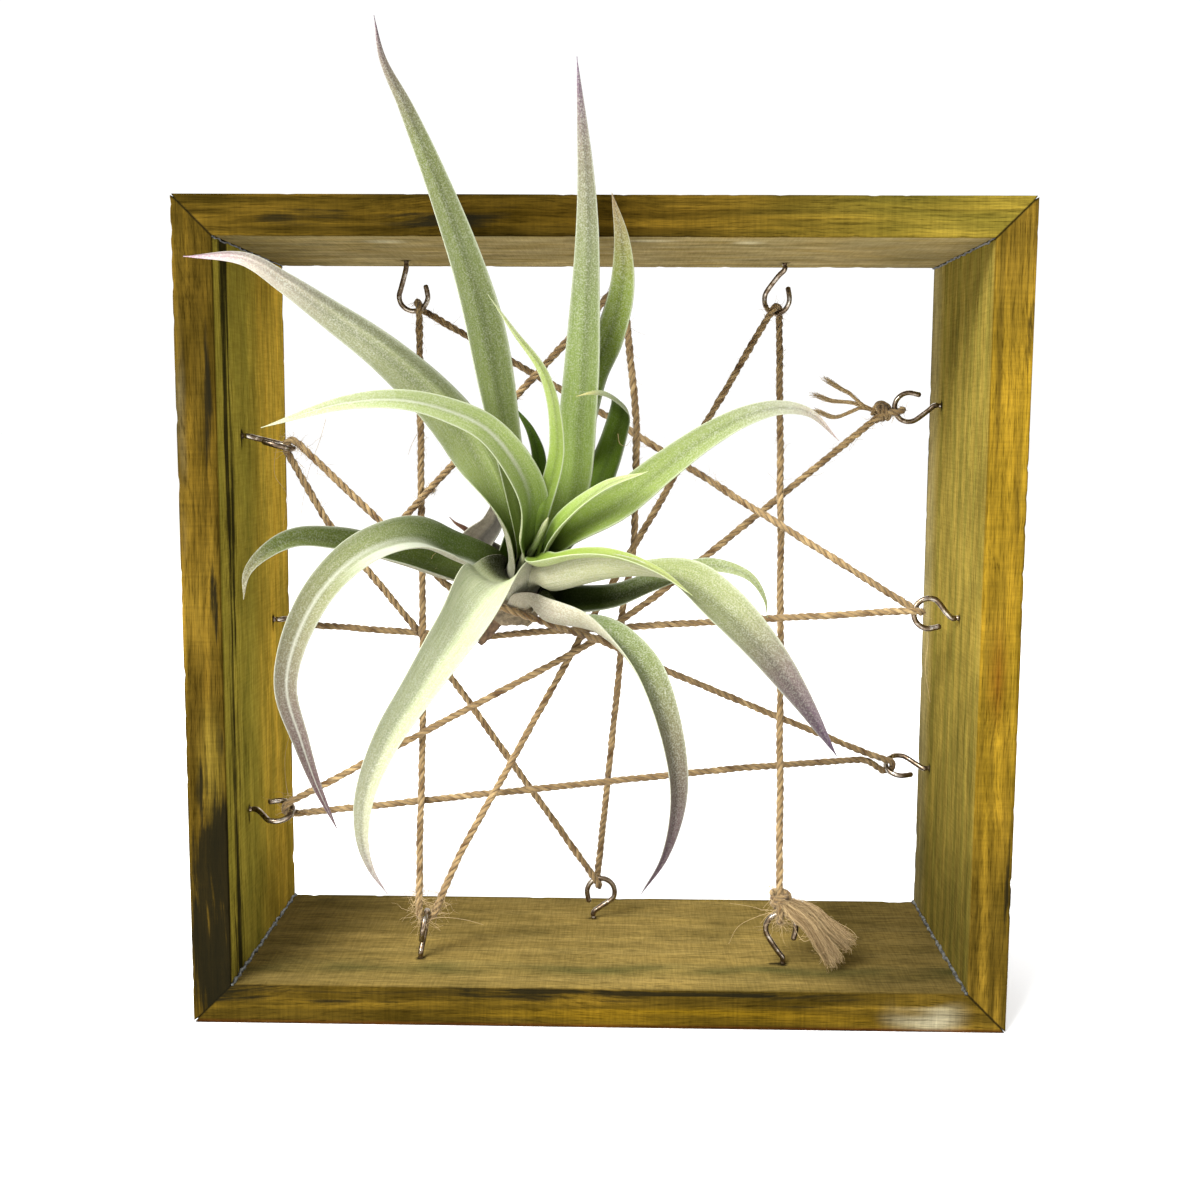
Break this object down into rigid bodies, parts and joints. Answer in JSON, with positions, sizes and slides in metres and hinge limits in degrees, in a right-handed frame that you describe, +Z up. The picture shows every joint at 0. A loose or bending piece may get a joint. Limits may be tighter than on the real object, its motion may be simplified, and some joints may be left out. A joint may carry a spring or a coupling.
{
  "type": "air plant in a string frame",
  "caption": "Air plant with long tapering silver-green leaves, held in a square stained-wood frame by jute string laced between screw hooks.",
  "frame": {"origin": "middle of the frame's underside", "axes": "+Z up, +Y to the back of the frame, +X to its right as seen from the front"},
  "size_m": [0.254, 0.1242, 0.2981],
  "materials": {
    "stained_wood": "matte stain",
    "brad_steel": "plain",
    "hook_wire": "dark bronzed",
    "green_leaf": "soft, finely scaled",
    "grey_leaf": "silvery, finely scaled",
    "dry_leaf": "dry",
    "stem": "fibrous",
    "jute": "twisted, fuzzy"
  },
  "bodies": {
    "root": {"board_top": "stained_wood", "board_bottom": "stained_wood", "board_left": "stained_wood", "board_right": "stained_wood", "brad_bottom_left_front": "brad_steel", "brad_bottom_left_back": "brad_steel", "brad_bottom_right_front": "brad_steel", "brad_bottom_right_back": "brad_steel", "brad_top_left_front": "brad_steel", "brad_top_left_back": "brad_steel", "brad_top_right_front": "brad_steel", "brad_top_right_back": "brad_steel", "hook_top_left": "hook_wire", "hook_top_middle": "hook_wire", "hook_top_right": "hook_wire", "hook_left_top": "hook_wire", "hook_left_middle": "hook_wire", "hook_left_bottom": "hook_wire", "hook_right_top": "hook_wire", "hook_right_middle": "hook_wire", "hook_right_bottom": "hook_wire", "hook_bottom_left": "hook_wire", "hook_bottom_middle": "hook_wire", "hook_bottom_right": "hook_wire", "leaf_centre": "green_leaf", "leaf_left_arching": "green_leaf", "leaf_right_inner": "green_leaf", "leaf_right_short": "green_leaf", "leaf_upper_left": "green_leaf", "leaf_spear": "green_leaf", "leaf_right_rising": "grey_leaf", "leaf_left_pink": "grey_leaf", "leaf_upper_middle": "grey_leaf", "leaf_front_hanging": "grey_leaf", "leaf_right_purple": "grey_leaf", "leaf_curled": "grey_leaf", "leaf_left_hanging": "grey_leaf", "leaf_lower_hanging": "grey_leaf", "leaf_back": "grey_leaf", "leaf_left_low": "grey_leaf", "leaf_right_back": "grey_leaf", "leaf_upper_right": "grey_leaf", "dry_sheath": "dry_leaf", "dry_bract": "dry_leaf", "stem": "stem", "string": "jute"}
  },
  "joints": []
}
